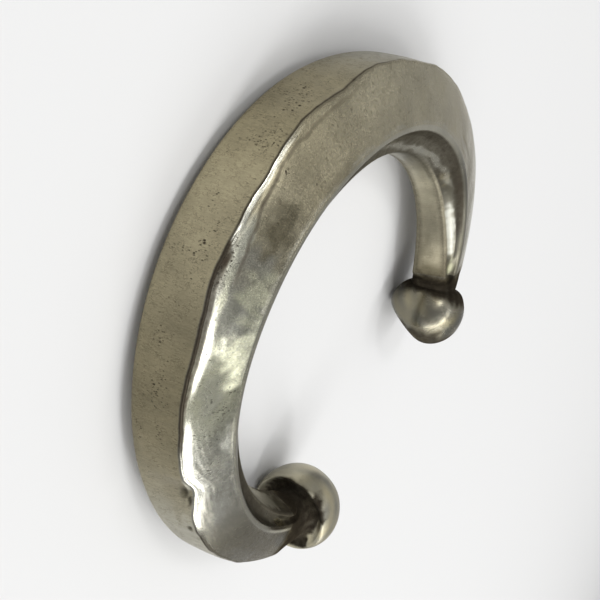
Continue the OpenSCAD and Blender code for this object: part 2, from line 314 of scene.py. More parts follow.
# Steps across: upper face, hollow bevel, wrist face, foot bevel, sole, outer face
SIDE_STEPS = [42, 20, 12, 8, 10, 30]
NECK_STEPS = 16
BALL_SUBSTEPS = 4
# Length along the outside of the band for each degree, in mm
ARC = math.radians(1) * 42


def smooth(rows, x, column):
    """A column of a table at x, on the same smooth curve as in the CAD source.

    The curve is a cubic between rows, with the slope of the line between each row's neighbours.
    """
    xs, ys = rows[:, 0], rows[:, column]
    numbers, last = np.arange(len(xs)), len(xs) - 1
    below, above = np.maximum(numbers - 1, 0), np.minimum(numbers + 1, last)
    slopes = (ys[above] - ys[below]) / (xs[above] - xs[below])
    row = np.clip(np.searchsorted(xs, x, side="right") - 1, 0, last - 1)
    step = xs[row + 1] - xs[row]
    t = (x - xs[row]) / step
    return ((1 + 2 * t) * (1 - t) ** 2 * ys[row] + t * (1 - t) ** 2 * step * slopes[row]
            + t * t * (3 - 2 * t) * ys[row + 1] + t * t * (t - 1) * step * slopes[row + 1])


def columns(rows, x):
    """All columns of a table at x, after its first."""
    return [smooth(rows, x, column) for column in range(1, rows.shape[1])]


def ease(share):
    """0 to 1 with a soft start and a soft end, and flat outside them."""
    share = np.clip(share, 0, 1)
    return share * share * (3 - 2 * share)


def rise(x, start, stop):
    """0 up to start, easing to 1 at stop; with stop below start it runs the other way."""
    return ease((x - start) / (stop - start))


def bump(x, middle, width):
    """1 at the middle, easing to 0 at width on each side."""
    return ease(1 - np.abs(x - middle) / width)


def waves(u, v, seed, count=6, shortest=0.3):
    """Smooth irregular relief, about -1 to 1, from sine waves of length 1 down to the shortest.

    u and v are the places in two directions, and each wave runs in a direction of its own.
    """
    random = np.random.default_rng(seed)
    total = 0
    for number in range(count):
        size = shortest ** (number / (count - 1))
        angle, phase = random.uniform(0, 2 * math.pi, 2)
        along = u * math.cos(angle) + v * math.sin(angle)
        total = total + size * np.sin(along * 2 * math.pi / size + phase)
    return total / (0.5 * count * (1 + shortest) / 2)


def unit(vectors):
    """Vectors of length 1; a vector of no length stays as it is."""
    return vectors / np.maximum(np.linalg.norm(vectors, axis=-1, keepdims=True), 1e-9)


# Band sections with forging detail
def corners(turn, wobble):
    """The six corners of each section; wobble is how far the ridge wanders, in mm."""
    wear = smooth(RIDGE_WEAR, turn, 1)
    wander = waves(turn * ARC / 9, 0 * turn, 3, shortest=0.2) * rise(np.abs(turn), 118, 106)
    wear = wear + wobble * wander
    ridge = np.stack([smooth(BAND, turn, 1) - wear, WEAR_RISE * wear], -1)
    others = [np.stack([smooth(BAND, turn, column), smooth(BAND, turn, column + 1)], -1)
              for column in range(2, 12, 2)]
    return np.stack([ridge, *others], -2)


def outline(points, rounding):
    """Rounded section through its corners, as (stations, ring, 2).

    With it come the side on which each point lies, the share of the side before it, and the
    side's length.
    """
    count = points.shape[-2]
    places, side, share, length = [], [], [], []
    for number in range(count):
        following = (number + 1) % count
        here, ahead, behind = points[:, number], points[:, following], points[:, number - 1]
        back = unit(behind - here)
        forward = unit(ahead - here)
        start, leave = here + back * rounding[number], here + forward * rounding[number]
        arrive = ahead - forward * rounding[following]
        outward = np.stack([forward[:, 1], -forward[:, 0]], -1)
        run = np.linalg.norm(arrive - leave, axis=-1)
        for step in range(CORNER_STEPS + 1):
            t = step / CORNER_STEPS
            places.append((1 - t) ** 2 * start + 2 * t * (1 - t) * here + t * t * leave)
            side.append(number - 0.5 + 0.5 * t)
            share.append(0.0)
            length.append(run)
        for step in range(1, SIDE_STEPS[number]):
            t = step / SIDE_STEPS[number]
            places.append(leave + (arrive - leave) * t + outward * BULGE[number] * 4 * t * (1 - t))
            side.append(number)
            share.append(t)
            length.append(run)
    return np.stack(places, 1), np.array(side), np.array(share), np.stack(length, 1)


def section_normals(shape):
    """Direction out of the section at each of its points."""
    across = np.roll(shape, -1, 1) - np.roll(shape, 1, 1)
    return unit(np.stack([across[..., 1], -across[..., 0]], -1))


def outward_at(turn):
    """Direction away from the ring's axis at a turn; 0 is the middle of the back, 90 is at +X."""
    angle = np.radians(turn)
    return np.stack([np.sin(angle), np.cos(angle), angle * 0], -1)


def along_at(turn):
    """Direction round the ring at a turn, from the near end to the far end."""
    angle = np.radians(turn)
    return np.stack([np.cos(angle), -np.sin(angle), angle * 0], -1)


UP = np.array([0, 0, 1.0])


class Place:
    """Turn, side and distances of every point of the band, as grids of the same shape."""

    def __init__(self, turn, side, share, length):
        one = np.ones((len(turn), len(side)))
        self.turn = turn[:, None] * one
        self.arc = self.turn * ARC
        self.side = side[None, :] * one
        self.share = share[None, :] * one
        self.after = self.share * length            # mm from the corner that starts the side
        self.before = (1 - self.share) * length     # mm from the corner that ends it
        self.length = length

    def on(self, side):
        """1 on a side, without its corners, and 0 elsewhere."""
        return (self.side == side).astype(float)

    def mark(self, side, turn, share, half_turn, half_share, wander=0.12):
        """Patch on a side: 1 in its middle, 0 outside, with a soft edge that wanders."""
        reach = np.hypot((self.turn - turn) / half_turn, (self.share - share) / half_share)
        seed = int(abs(turn) * 7 + share * 100)
        reach = reach + wander * waves(self.arc / 4, self.after / 4, seed, count=5, shortest=0.4)
        return self.on(side) * rise(reach, 1.2, 0.4)


def relief(at):
    """Height of the forging detail over the plain section, in mm, at each point of the band."""
    # The marks fade out by the necks, and the waves within a millimetre of each edge
    off_ends = rise(np.abs(at.turn), 121, 113)
    off_edges = ease(at.after) * ease(at.before)
    raised = np.zeros_like(at.turn)
    # Upper face: a strip beside the ridge leans outward and catches the light
    depth, start, width, slope, outer_depth = columns(RIDGE_STRIP, at.turn)
    start = start + 0.16 * waves(at.arc / 6, 0 * at.arc, 12, shortest=0.2)
    width = width * (1 + 0.24 * waves(at.arc / 7, 0 * at.arc, 13, shortest=0.25))
    slope = slope * (1 + 0.08 * waves(at.arc / 2.5, at.after / 1.5, 23, shortest=0.4))
    climb = width * np.tanh(np.maximum(at.after - start, 0) / width)
    raised += at.on(UPPER) * slope * climb * ease(1 - (at.after - start - width) / 7)
    # Crevices on both sides of the ridge and the soft valley
    raised -= at.on(UPPER) * depth * bump(at.after, 0.10, 0.22)
    raised -= at.on(OUTER) * outer_depth * bump(at.before, 0.05, 0.22)
    valley_at, valley = columns(VALLEY, at.turn)
    raised -= at.on(UPPER) * 0.008 * valley * bump(at.after, valley_at, 0.7)
    # Hollow bevel: shallower on the far arm, where its lower part turns to the light
    far = rise(at.turn, 20, 80)
    filled = BEVEL_HOLLOW * 4 * at.share * (1 - at.share)
    from_share = 0.80 - 0.42 * rise(at.turn, 86, 110)
    leaning = 0.15 * at.length * (1 - np.maximum(at.share, from_share)) * ease(at.share / from_share)
    raised += at.on(BEVEL) * (far * filled + rise(at.turn, 80, 92) * leaning)
    # Hammered waves, calmer by the near neck and on the far end of the bevel
    worn = {UPPER: 0.25 + 0.75 * rise(at.turn, -95, -70), BEVEL: 1 - 0.8 * rise(at.turn, 74, 84)}
    for side, size, along, across, seed, count, shortest in HAMMERED:
        wave = waves(at.arc / along, at.after / across, seed, count, shortest)
        raised += at.on(side) * size * off_edges * worn.get(side, 1.0) * wave
    for side, turn, share, half_turn, half_share, height in DENTS:
        raised += height * at.mark(side, turn, share, half_turn, half_share)
    return raised * off_ends


turns = np.linspace(-BAND_END, BAND_END, STATIONS)
plain = outline(corners(turns, 0.0), ROUNDING)[0]
flat, side_of, share_of, length_of = outline(corners(turns, RIDGE_WOBBLE), FINE_ROUNDING)
spots = Place(turns, side_of, share_of, length_of)
flat = flat + section_normals(flat) * relief(spots)[..., None]


def bent(section):
    """Band rings in space from their flat sections."""
    return (WRIST_RADIUS + section[..., :1]) * outward_at(turns)[:, None] + section[..., 1:] * UP


def over_flat(places, middle, direction, reach):
    """How far places stand over a beaten flat, in mm, with a soft edge to it."""
    over = (places - middle) @ direction - reach
    return np.log1p(np.exp(over * FLAT_SHARPNESS)) / FLAT_SHARPNESS


def end_rows(end, first):
    """Distance along the end, radius, share of the rim and row number of each of its rings."""
    last = end["neck"] * end["radius"]
    rows = [(first + (last - first) * step / NECK_STEPS, NECK_RADIUS, 0.0, step / NECK_STEPS - 1)
            for step in range(1, NECK_STEPS + 1)]
    table = np.vstack([[end["neck"], NECK_RADIUS / end["radius"]], end["rows"]])
    steps = np.arange(len(table), dtype=float)
    indexed = np.column_stack([steps, table])
    fine = np.linspace(0, steps[-1], (len(table) - 1) * BALL_SUBSTEPS + 1)[1:-1]
    along, size = (values * end["radius"] for values in columns(indexed, fine))
    return rows + list(zip(along, size, bump(fine, end["rim"], RIM_ROWS), fine))


def end_sections(end, shape, rough):
    """Rings of one end, its pole, and the place along, row number and angles of each ring.

    shape is the band's section where the end starts. With rough at 1 the end has its leaning rim,
    lumps and flats, and at 0 it is as plain as the CAD solid.
    """
    side, radius, turn = end["side"], end["radius"], end["side"] * end["angle"]
    centre = (shape.min(0) + shape.max(0)) / 2
    centred = shape - centre
    # Each point has its own angle at the band and an even share of the circle on the ball
    own = np.unwrap(np.arctan2(centred[:, 1], centred[:, 0]))
    even = own[0] + np.sign(own[-1] - own[0]) * 2 * math.pi * np.arange(len(own)) / len(own)
    ball_centre = np.array([end["out"], -BALL_DROP])
    path_radius = WRIST_RADIUS + end["out"]
    first = -math.radians(end["angle"] - BAND_END) * path_radius
    last = end["neck"] * radius
    rows = end_rows(end, first)
    rings, angles = [], []
    for along, size, rim, _ in rows:
        # On the way to the ball the section turns round and its path runs out straight
        rounded = rise(along, first, last) if along < last else 1.0
        bend = 1 - rise(along, first, last * STRAIGHT)
        place = centre * (1 - rounded) + ball_centre * rounded
        angle = own * (1 - rounded) + even * rounded
        round_x, round_y = np.cos(angle), np.sin(angle)
        ragged = end["ragged"] * waves(round_x * 1.2, round_y * 1.2, 71 + side, shortest=0.6)
        ragged = ragged + end["rim_lean"][0] * round_x + end["rim_lean"][1] * round_y
        lumps = waves(round_x + along / 6, round_y - along / 7, 74 + side, shortest=0.7)
        size = size + rough * end["lumps"] * lumps * min(size / 3, 1.0)
        reach = along + rough * rim * ragged
        path_turn = side * np.degrees(reach / path_radius)
        straight = (WRIST_RADIUS + place[0]) * outward_at(turn) + side * reach[:, None] * along_at(turn)
        curved = (WRIST_RADIUS + place[0]) * outward_at(turn + path_turn)
        base = curved * bend + straight * (1 - bend) + place[1] * UP
        circle = np.stack([round_x, round_y], -1) * (rounded * size)[:, None]
        ring = centred * (1 - rounded) + circle
        rings.append(base + ring[:, :1] * outward_at(turn + path_turn * bend) + ring[:, 1:] * UP)
        angles.append(angle)
    middle = path_radius * outward_at(turn) - BALL_DROP * UP
    pole = middle + side * end["rows"][-1, 0] * radius * along_at(turn)
    rings, numbers = np.array(rings), np.array([row[3] for row in rows])
    for direction, reach in end["flats"] if rough else []:
        direction = unit(np.array(direction))
        cut = over_flat(rings, middle, direction, reach * radius) * ease(numbers + 0.2)[:, None]
        rings = rings - cut[..., None] * direction
        pole = pole - over_flat(pole, middle, direction, reach * radius) * direction
    return rings, pole, np.array([row[0] for row in rows]) / radius, numbers, np.array(angles)


def whole(sections, rough):
    """Both ends, and the rings of the two ends and the band in one array, from near to far."""
    near = end_sections(NEAR_END, sections[0], rough)
    far = end_sections(FAR_END, sections[-1], rough)
    return near, far, np.concatenate([near[0][::-1], bent(sections), far[0]])


# The same shift as in the CAD: the bottom centre of the plain solid's box is the origin
plain_rings = whole(plain, 0)[2].reshape(-1, 3)
low, high = plain_rings.min(0), plain_rings.max(0)
shift = np.array([(low[0] + high[0]) / 2, (low[1] + high[1]) / 2, low[2]])

near_end, far_end, rings = whole(flat, 1)
ring_points = rings.shape[1]
points = np.concatenate([rings.reshape(-1, 3), [near_end[1], far_end[1]]])
points = np.clip((points - shift) * MM, np.array(cad_low), np.array(cad_high))

grid = np.arange(len(rings) * ring_points).reshape(len(rings), ring_points)
beside = np.roll(grid, -1, 1)
faces = np.stack([grid[:-1], beside[:-1], beside[1:], grid[1:]], -1).reshape(-1, 4).tolist()
near_pole, far_pole = len(points) - 2, len(points) - 1
faces += [[near_pole, int(there), int(here)] for here, there in zip(grid[0], beside[0])]
faces += [[far_pole, int(here), int(there)] for here, there in zip(grid[-1], beside[-1])]

mesh = bpy.data.meshes.new("silver_cuff")
mesh.from_pydata(points.tolist(), [], faces)
mesh.shade_smooth()
cuff = bpy.data.objects.new("silver_cuff", mesh)
bpy.context.scene.collection.objects.link(cuff)


# Colour and finish at each point
GREY = np.array([1.01, 1.005, 0.89])
TAN = np.array([1.08, 0.985, 0.70])
YELLOW = np.array([1.01, 1.01, 0.68])


def tinted(brightness, tint):
    """Colour of a brightness, and a tint from yellow, -1, over grey to tan, 1."""
    tint = np.asarray(tint)[..., None]
    towards = np.where(tint < 0, YELLOW, TAN)
    return np.asarray(brightness)[..., None] * (GREY + (towards - GREY) * np.abs(tint))


# Silver that wear has rubbed bare
RUBBED = tinted(0.46, 0.3)


def toward(colour, goal, share):
    """A colour moved by a share of the way to a goal colour."""
    return colour + (goal - colour) * share[..., None]


def painted(at, near_side):
    """Bare metal with its patches, some of them painted highlights, and how far a light patch keeps the dirt
    away.
    """
    bright, tint = columns(UNDERSIDE, at.turn)
    for side, rows in TONE.items():
        here = near_side == side
        side_bright, side_tint = columns(rows, at.turn)
        bright, tint = np.where(here, side_bright, bright), np.where(here, side_tint, tint)
    colour = tinted(bright, tint)
    clean = np.zeros_like(at.turn)
    for side, turn, share, half_turn, half_share, shade, hue, strength in PATCHES:
        cover = strength * at.mark(side, turn, share, half_turn, half_share, wander=0.25)
        colour = colour * (1 - cover[..., None]) + tinted(shade, hue) * cover[..., None]
        clean = np.maximum(clean * (1 - cover), cover * (shade > CLEAN_SHADE))
    return colour, clean


def rubbed_bevel(at):
    """The light wavy band in the hollow bevel, 1 where it is rubbed most."""
    middle, width, strength = columns(BEVEL_BAND, at.turn)
    middle = middle + 0.04 * waves(at.arc / 9, 0 * at.arc, 16)
    width = width * (1 + 0.35 * waves(at.arc / 6, at.after / 5, 17))
    band = at.on(BEVEL) * strength * ease(1.3 * (1 - np.abs(at.share - middle) / width))
    by_bore_edge = 0.5 * at.on(BEVEL) * bump(at.turn, 64, 12) * rise(at.share, 0.86, 0.96)
    return np.maximum(band, by_bore_edge)


def ridge_finish(at, colour):
    """Beside the ridge: the colour, the tarnish, how rubbed the strip is and its black stretch."""
    depth, start, width, slope, outer_depth = columns(RIDGE_STRIP, at.turn)
    # The strip is rubbed bright, and so is the corner of the ridge where the strip starts there
    rubbed = at.on(UPPER) * rise(at.after - start, -0.1, 0.1)
    rubbed = rubbed * ease((start + 1.1 * width - at.after) / (0.7 * width))
    inner_corner = (at.side > RIDGE_LINE) & (at.side < UPPER)
    rubbed = np.maximum(rubbed, inner_corner * rise(start, 0.2, 0.1))
    rubbed = rubbed * rise(slope, 0.04, 0.09)
    polish = 0.90 - 0.30 * rise(at.turn, -8, 0)
    colour = toward(colour, tinted(polish, 0.1 - 0.5 * bump(at.turn, -30, 14)), rubbed)
    # The crevice beside the ridge, the ridge's corner and the valley below the strip are black-brown
    line = 0.16 + 0.10 * waves(at.arc / 4, 0 * at.arc, 18)
    crevice = np.maximum(0.94 * rise(at.after - line, 0.06, -0.06),
                         0.70 * rise(at.after - start, 0.05, -0.25))
    outer_crevice = 0.85 * ease(outer_depth / 0.06)
    valley_at, valley = columns(VALLEY, at.turn)
    valley_at = valley_at + 0.15 * waves(at.arc / 5, 0 * at.arc, 24)
    black_stretch = at.on(UPPER) * bump(at.turn, -25, 5.5) * rise(at.after, 1.1, 0.6)
    dark = np.maximum.reduce([
        at.on(UPPER) * ease(depth / 0.10) * crevice,
        at.on(OUTER) * outer_crevice * (at.before < 0.15),
        outer_crevice * (at.side < RIDGE_LINE),
        0.85 * at.on(UPPER) * valley * bump(at.after, valley_at, 0.5),
        black_stretch,
        0.92 * (at.side < UPPER) * ease(depth / 0.10),
    ])
    # Between the strip and the valley the near arm is greenish
    greenish = at.on(UPPER) * valley * ease((at.after - start) / 0.3)
    greenish = greenish * rise(valley_at - at.after, 0.2, 0.5) * rise(at.turn, -15, -19)
    colour = toward(colour, tinted(0.22, -0.25), 0.85 * greenish)
    return colour, dark, rubbed, black_stretch


def hollow_dirt_and_edge_shade(at, clean, near_neck):
    """Dirt in the hollow bevel and by the near ball; painted shade along the edges of the wrist face."""
    dirt = ease(1.7 - 2.6 * at.share) * rise(at.turn, 112, 102)
    dirt = np.maximum(dirt, 0.85 * rise(at.turn, 88, 78))
    depth_of_dirt = 0.78 - 0.12 * (at.turn < 0) - 0.22 * rise(at.turn, -100, -110)
    bore_edge = (at.side > BEVEL) & (at.side < WRIST)
    foot_edge = (at.side > WRIST) & (at.side < FOOT)
    to_edge = np.minimum(at.after, at.before)
    far_arm = rise(at.turn, 20, 40)
    slot = rise(at.turn, 92, 96) * rise(at.turn, 114, 111)
    # By the near ball the wrist face is smeared in from its edges
    smear = 0.5 + 0.5 * waves(at.arc / 3, at.after / 3, 20)
    smeared = np.maximum(at.on(WRIST) * rise(to_edge - smear, 0.5, -0.2), bore_edge)
    smeared = np.maximum(smeared, foot_edge | (at.side == FOOT) & (at.share < 0.3))
    return np.maximum.reduce([
        depth_of_dirt * at.on(BEVEL) * dirt * (1 - clean) * rise(at.after, -0.1, 0.2),
        # Painted shade along the bore edge, the foot edge and the far arm's wrist-face edges
        bore_edge * (0.60 - 0.06 * far_arm - 0.10 * slot),
        foot_edge * 0.45 * far_arm,
        0.42 * far_arm * at.on(WRIST) * ease(1 - to_edge / 0.8),
        0.80 * near_neck * smeared,
    ])


def crest_wear_and_painted_light(at, colour, near_neck):
    """The crest is rubbed lighter; by the near ball a thin painted highlight line runs along it, with
    painted shade on the corner beyond.
    """
    reach = 0.6 + 0.35 * waves(at.arc / 5, 0 * at.arc, 14)
    reach = reach * (1 - 0.7 * rise(at.turn, -70, -90))
    corner = (at.side > 0.5) & (at.side < BEVEL)
    crest = np.maximum(corner, at.on(UPPER) * ease((reach - at.before) / 0.4))
    crest = crest * (0.5 - 0.35 * rise(at.turn, 60, 80)) * (1 - 0.8 * near_neck)
    colour = toward(colour, RUBBED, crest)
    # By the near ball, a thin painted highlight line along the crest
    lip_highlight = near_neck * bump(at.side, 0.66, 0.14)
    colour = toward(colour, tinted(0.75, 0.5), 0.9 * lip_highlight)
    # Painted shade on the crest's corner beyond that line, by the near ball
    return colour, 0.75 * near_neck * ((at.side > 0.8) & (at.side < BEVEL))


def end_soot(at, near_side, end_dirt):
    """Tarnish that creeps from both necks onto the faces that show."""
    blotches = ease(0.8 + 0.5 * waves(at.arc / 5, at.after / 5, 15, shortest=0.4))
    patchy = (0.75 - 0.62 * (at.turn > 0)) * end_dirt * blotches
    # The far end also darkens evenly as it runs into its neck
    soot = 0.93 * rise(at.turn + 0.7 * waves(at.arc / 4, at.after / 3, 25), 120.2, 125.8)
    return np.maximum(patchy, soot) * (near_side < FOOT)


def pitting(at, black_stretch):
    """How thick the small pits stand."""
    pits = 0.08 + 0.22 * at.on(OUTER) * rise(at.turn, -70, -50) * rise(at.turn, 35, 15)
    pits = pits + 0.16 * at.on(UPPER) * rise(at.turn, -78, -66) * rise(at.turn, 65, 45)
    for side, turn, share, half_turn, half_share, strength in PITTED:
        pits = np.maximum(pits, strength * at.mark(side, turn, share, half_turn, half_share))
    return np.maximum(pits, black_stretch)


def grain_of(at, near_side, rubbed):
    """How strongly the file marks and the fine mottling show."""
    grain = np.select([near_side == UPPER, near_side == BEVEL, near_side == OUTER], [0.12, 0.15, 0.80], 0.5)
    along = 0.38 * rise(at.turn, -78, -68) + 0.10 * rise(at.turn, -58, -48)
    along = along + 0.05 * rise(at.turn, -20, -8) + 0.35 * rise(at.turn, -84, -100)
    grain = grain + (near_side == UPPER) * rise(at.turn, 60, 40) * along
    polished = (near_side == UPPER) * bump(at.after, 0, 3) * bump(at.turn, -12, 22)
    return grain * (1 - 0.75 * rubbed) * (1 - 0.6 * polished)


def band_finish_and_painted_light(at):
    """Colour of the band with its painted highlights, and its dark tarnish with painted shade, pits,
    roughness and grain.
    """
    near_side = np.round(at.side)
    near_neck = rise(at.turn, -104, -112)
    end_dirt = ease((np.abs(at.turn) - np.where(at.side < 0.8, 120, 117)) / 4)
    colour, clean = painted(at, near_side)
    bevel_band = rubbed_bevel(at)
    clean = np.maximum(clean, bevel_band)
    blotched = 0.85 + 0.30 * waves(at.arc / 2.5, at.after / 2.5, 19, count=7, shortest=0.4)
    colour = toward(colour, RUBBED, bevel_band * blotched)
    colour, ridge_dark, rubbed, black_stretch = ridge_finish(at, colour)
    colour, crest_painted_shade = crest_wear_and_painted_light(at, colour, near_neck)
    # Dark layer: tarnish and dirt, with painted shade on the crest and along the wrist face's edges
    dark = np.maximum.reduce([
        ridge_dark, crest_painted_shade, hollow_dirt_and_edge_shade(at, clean, near_neck), end_soot(at, near_side, end_dirt)])
    rough = np.select([near_side == UPPER, near_side == BEVEL, near_side == WRIST, near_side == OUTER],
                      [0.24, 0.22, 0.34, 0.40], 0.42)
    rough = rough - 0.06 * rubbed + 0.15 * end_dirt
    rough = rough + 0.14 * (near_side == BEVEL) * rise(at.turn, 76, 84)
    return colour, dark, pitting(at, black_stretch), rough, grain_of(at, near_side, rubbed)


def end_finish(end, sections):
    """The same five layers for a neck and its ball."""
    angle = sections[4]
    along, row = sections[2][:, None] + 0 * angle, sections[3][:, None] + 0 * angle
    round_x, round_y = np.cos(angle), np.sin(angle)
    numbers = np.arange(len(end["rows"])) + 1
    sizes = np.interp(row, [0, *numbers], [NECK_RADIUS / end["radius"], *end["rows"][:, 1]])
    x, y = sizes * round_x, sizes * round_y
    uneven = waves(round_x * 1.4 + along, round_y * 1.4, 81 + end["side"])
    patchy = waves(x * 1.2 + along, y * 1.2 - along, 84 + end["side"], shortest=0.4)
    fine = waves(x * 4 + along * 3, y * 4 - along * 3, 87 + end["side"], count=7, shortest=0.4)
    colour = tinted(end["tone"] * (1 + 0.20 * patchy), 0.7 + 0.3 * patchy)
    on_neck = ease(-row / 0.6) * ease((row - end["neck_from"]) / 0.4)
    colour = toward(colour, tinted(0.20 * (1 + 0.5 * fine), 1.5 + 0 * fine), on_neck)
    # Tarnish from the neck over the ball, round the pole, and chipped off in places
    start, stop = end["stained"]
    lean_out, lean_up = end["stain_lean"]
    stop = np.minimum(stop + lean_out * round_x + lean_up * round_y, STAIN_LIMIT)
    dark = ease((row - start + 0.15 * uneven) / end["fade"])
    dark = dark * ease((stop - row + end["wander"] * uneven + end["fray"] * fine) / 1.5)
    dark = np.maximum(dark, end["dull_pole"] * rise(row + 0.8 * uneven, 7.1, 8.9))
    for degrees, chip_row, chip_size in end["chips"]:
        chip_angle = math.radians(degrees)
        chip_along = np.interp(chip_row, numbers, end["rows"][:, 0])
        chip_radius = np.interp(chip_row, numbers, end["rows"][:, 1])
        off_x, off_y = x - chip_radius * math.cos(chip_angle), y - chip_radius * math.sin(chip_angle)
        away = np.sqrt(off_x ** 2 + off_y ** 2 + (along - chip_along) ** 2)
        dark = dark * (1 - rise(away / chip_size - 0.3 * patchy, 1.3, 0.7))
    rough = 0.22 + 0.26 * dark + 0.14 * (end["side"] < 0) + 0.15 * ease(-row / 0.6)
    if end["dulled"]:
        dull_out, dull_up = end["dulled"]
        dull = rise(round_x * dull_out + round_y * dull_up + 0.15 * patchy, 0.30, 0.70)
        dull = dull * rise(row, 5.4, 4.2)
        rough = rough + 0.26 * dull
        colour = colour * (1 - 0.25 * dull)[..., None]
    pits = np.full_like(row, 0.25)
    grain = 0.28 + 0.4 * dark
    return colour, dark * (0.93 + 0.05 * fine), pits, rough, grain


# Each with its colour (with painted highlights on the band), dark tarnish (with painted shade on the band),
# pits, roughness and grain
layers = [end_finish(NEAR_END, near_end), band_finish_and_painted_light(spots), end_finish(FAR_END, far_end)]


def joined(index):
    """One layer of the finish at every point of the mesh, in the order of its points."""
    parts = [layers[0][index][::-1], layers[1][index], layers[2][index]]
    rows = np.concatenate(parts)
    flat_rows = rows.reshape(-1, rows.shape[-1]) if rows.ndim == 3 else rows.reshape(-1, 1)
    return np.concatenate([flat_rows, flat_rows[:1], flat_rows[-1:]])


tone = mesh.attributes.new("tone", "FLOAT_COLOR", "POINT")
tone.data.foreach_set("color", np.hstack([joined(0), joined(4)]).astype(np.float32).ravel())
finish = mesh.attributes.new("finish", "FLOAT_VECTOR", "POINT")
finish.data.foreach_set("vector", np.hstack([joined(1), joined(2), joined(3)]).astype(np.float32).ravel())

# Coordinates that run along the ring, outward and up, in mm, for grain that follows the band
centred = points / MM + shift
ring_grid = np.stack([np.degrees(np.arctan2(centred[:, 0], centred[:, 1])) * ARC,
                      np.hypot(centred[:, 0], centred[:, 1]), centred[:, 2]], 1)
grid_layer = mesh.attributes.new("ring_grid", "FLOAT_VECTOR", "POINT")
grid_layer.data.foreach_set("vector", ring_grid.astype(np.float32).ravel())

# Material. Colour of full tarnish, also used for the painted shade, straight on and at a grazing angle
TARNISH_AND_SHADE = (0.045, 0.036, 0.026, 1)
TARNISH_AND_SHADE_GRAZING = (0.45, 0.43, 0.40, 1)
LEAST_ROUGH = 0.12

silver = bpy.data.materials.new("aged_silver")
silver.use_nodes = True
tree = silver.node_tree
bsdf = tree.nodes["Principled BSDF"]
bsdf.inputs["Metallic"].default_value = 1.0


def node(kind, inputs=(), **props):
    """A shader node with its inputs given as values or links."""
    made = tree.nodes.new(kind)
    for key, value in props.items():
        setattr(made, key, value)
    for key, value in dict(inputs).items():
        if isinstance(value, bpy.types.NodeSocket):
            tree.links.new(value, made.inputs[key])
        else:
            made.inputs[key].default_value = value
    return made


def math_node(kind, a, b=0.0, clamp=False):
    return node("ShaderNodeMath", {0: a, 1: b}, operation=kind, use_clamp=clamp).outputs[0]


def add(a, b):
    return math_node("ADD", a, b)


def mul(a, b):
    return math_node("MULTIPLY", a, b)


def most(a, b):
    return math_node("MAXIMUM", a, b)


def ramp(value, low, high, to_low=0.0, to_high=1.0):
    """A value eased from one range to another."""
    made = node("ShaderNodeMapRange", {"Value": value, "From Min": low, "From Max": high,
                                       "To Min": to_low, "To Max": to_high}, interpolation_type="SMOOTHSTEP")
    return made.outputs["Result"]


def noise(vector, scale, detail=4.0, rough=0.55):
    """Noise about zero, -0.5 to 0.5."""
    made = node("ShaderNodeTexNoise",
                {"Vector": vector, "Scale": scale, "Detail": detail, "Roughness": rough})
    return add(made.outputs["Fac"], -0.5)


def mix_colour(factor, a, b):
    made = tree.nodes.new("ShaderNodeMix")
    made.data_type = "RGBA"
    for socket, value in ((made.inputs[0], factor), (made.inputs[6], a), (made.inputs[7], b)):
        if isinstance(value, bpy.types.NodeSocket):
            tree.links.new(value, socket)
        else:
            socket.default_value = value
    return made.outputs[2]


tone_node = node("ShaderNodeAttribute", attribute_name="tone")
tone_in, grain_in = tone_node.outputs["Color"], tone_node.outputs["Alpha"]
finish_node = node("ShaderNodeAttribute", attribute_name="finish")
finish_parts = node("ShaderNodeSeparateXYZ", {0: finish_node.outputs["Vector"]}).outputs
dark_in, pits_in, rough_in = finish_parts[0], finish_parts[1], finish_parts[2]
ring_in = node("ShaderNodeAttribute", attribute_name="ring_grid").outputs["Vector"]


def stretched(scale, rotation=(0, 0, 0)):
    return node("ShaderNodeMapping", {"Vector": ring_in, "Scale": scale, "Rotation": rotation}).outputs[0]


# Patches of about 5 mm, grain of about 1 mm, dirt in the finest hollows, file marks across the band
cloud = noise(ring_in, 0.20, 5)
mottle = noise(ring_in, 0.9, 6, 0.65)
speck = noise(ring_in, 4.0, 4, 0.65)
strokes = noise(stretched((5.0, 0.9, 0.9)), 0.9, 4, 0.6)

# Small dark pits in clusters
cell = node("ShaderNodeTexVoronoi", {"Vector": stretched((1.15, 0.9, 0.9)), "Scale": 1.1})
small_cell = node("ShaderNodeTexVoronoi", {"Vector": stretched((1.3, 0.7, 0.7)), "Scale": 2.3})
hole = ramp(cell.outputs["Distance"], 0.25, 0.13)
small_hole = ramp(small_cell.outputs["Distance"], 0.32, 0.16)
hole = mul(hole, ramp(add(noise(ring_in, 0.8, 2), pits_in), 0.55, 0.75))
small_hole = mul(small_hole, ramp(add(mul(noise(ring_in, 0.5, 3), 1.6), pits_in), 0.30, 0.60))
pit = most(hole, mul(small_hole, 0.75))

# Long thin scratches, most of them round the ring
# stretch along, outward and up; turn of the scratches; scale
SCRATCHES = [
    ((0.10, 5.0, 5.0), (0, 0, 0), 1.3),
    ((0.12, 6.0, 6.0), (0, 0.5, 0.5), 1.6),
    ((5.0, 0.15, 0.15), (0.2, 0.3, 0), 1.9),
]
lines = []
for stretch, turned, scale in SCRATCHES:
    streak = noise(stretched(stretch, turned), scale, 2, 0.5)
    lines.append(ramp(math_node("ABSOLUTE", streak), 0.010, 0.0))
scratch = most(most(lines[0], lines[1]), lines[2])

# Fine short strokes left by files and wear
strokes_each_way = []
for turned in (0.35, -0.5):
    streak = noise(stretched((3.2, 1.3, 1.3), (0.3, turned, turned)), 0.8, 3, 0.6)
    strokes_each_way.append(ramp(math_node("ABSOLUTE", streak), 0.030, 0.0))
hatch = mul(mul(most(*strokes_each_way), ramp(mottle, -0.12, 0.14)), grain_in)

